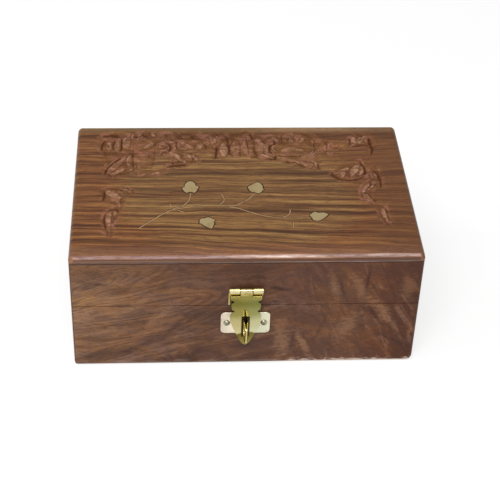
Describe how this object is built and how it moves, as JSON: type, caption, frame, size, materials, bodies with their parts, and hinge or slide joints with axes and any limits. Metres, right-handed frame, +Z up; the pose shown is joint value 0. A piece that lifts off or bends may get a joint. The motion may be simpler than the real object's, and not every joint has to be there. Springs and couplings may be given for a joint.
{
  "type": "inlaid wooden box",
  "caption": "Small rectangular hardwood box with a hinged lid, brass leaf-and-vine inlay in the top, and a swinging scalloped brass hasp over a staple.",
  "frame": {"origin": "centre of the underside of the bottom board, the face the box stands on", "axes": "+Z up; +X along the width, to the right seen from the front; the front, with hasp and staple, faces -Y"},
  "size_m": [0.152, 0.1097, 0.0615],
  "materials": {
    "rosewood": "semi-gloss oiled and waxed",
    "brass_hardware": "polished",
    "brass_inlay": "dull, sanded flush",
    "velvet": "short pile"
  },
  "bodies": {
    "base": {"base_front_board": "rosewood", "base_back_board": "rosewood", "base_left_board": "rosewood", "base_right_board": "rosewood", "base_bottom_board": "rosewood", "base_wall_lining": "velvet", "base_floor_pad": "velvet", "staple_plate": "brass_hardware", "staple_loop": "brass_hardware", "staple_screw_1": "brass_hardware", "staple_screw_2": "brass_hardware", "hinge_left_base_leaf": "brass_hardware", "hinge_left_base_screw_1": "brass_hardware", "hinge_left_base_screw_2": "brass_hardware", "hinge_left_pin": "brass_hardware", "hinge_right_base_leaf": "brass_hardware", "hinge_right_base_screw_1": "brass_hardware", "hinge_right_base_screw_2": "brass_hardware", "hinge_right_pin": "brass_hardware"},
    "lid": {"lid_front_board": "rosewood", "lid_back_board": "rosewood", "lid_left_board": "rosewood", "lid_right_board": "rosewood", "lid_top_panel": "rosewood", "lid_wall_lining": "velvet", "lid_top_pad": "velvet", "inlay_leaf_1": "brass_inlay", "inlay_leaf_2": "brass_inlay", "inlay_leaf_3": "brass_inlay", "inlay_leaf_4": "brass_inlay", "inlay_main_stem": "brass_inlay", "inlay_leaf_1_stem": "brass_inlay", "inlay_leaf_4_stem": "brass_inlay", "inlay_tendril_1": "brass_inlay", "inlay_tendril_2": "brass_inlay", "inlay_tendril_3": "brass_inlay", "inlay_tendril_4": "brass_inlay", "inlay_tendril_5": "brass_inlay", "hinge_left_lid_leaf": "brass_hardware", "hinge_left_lid_screw_1": "brass_hardware", "hinge_left_lid_screw_2": "brass_hardware", "hinge_right_lid_leaf": "brass_hardware", "hinge_right_lid_screw_1": "brass_hardware", "hinge_right_lid_screw_2": "brass_hardware", "hasp_fixed_leaf": "brass_hardware", "hasp_pin": "brass_hardware", "hasp_screw_1": "brass_hardware", "hasp_screw_2": "brass_hardware"},
    "hasp": {"hasp_leaf": "brass_hardware"}
  },
  "joints": [
    {"name": "lid_hinge", "type": "hinge", "parent": "base", "child": "lid", "pos_m": [0, 0.0475, 0.03445], "axis": [-1, 0, 0], "range_deg": [0, 100]},
    {"name": "hasp_swing", "type": "hinge", "parent": "lid", "child": "hasp", "pos_m": [-0.0003, -0.0516, 0.0438], "axis": [-1, 0, 0], "range_deg": [0, 165]}
  ]
}
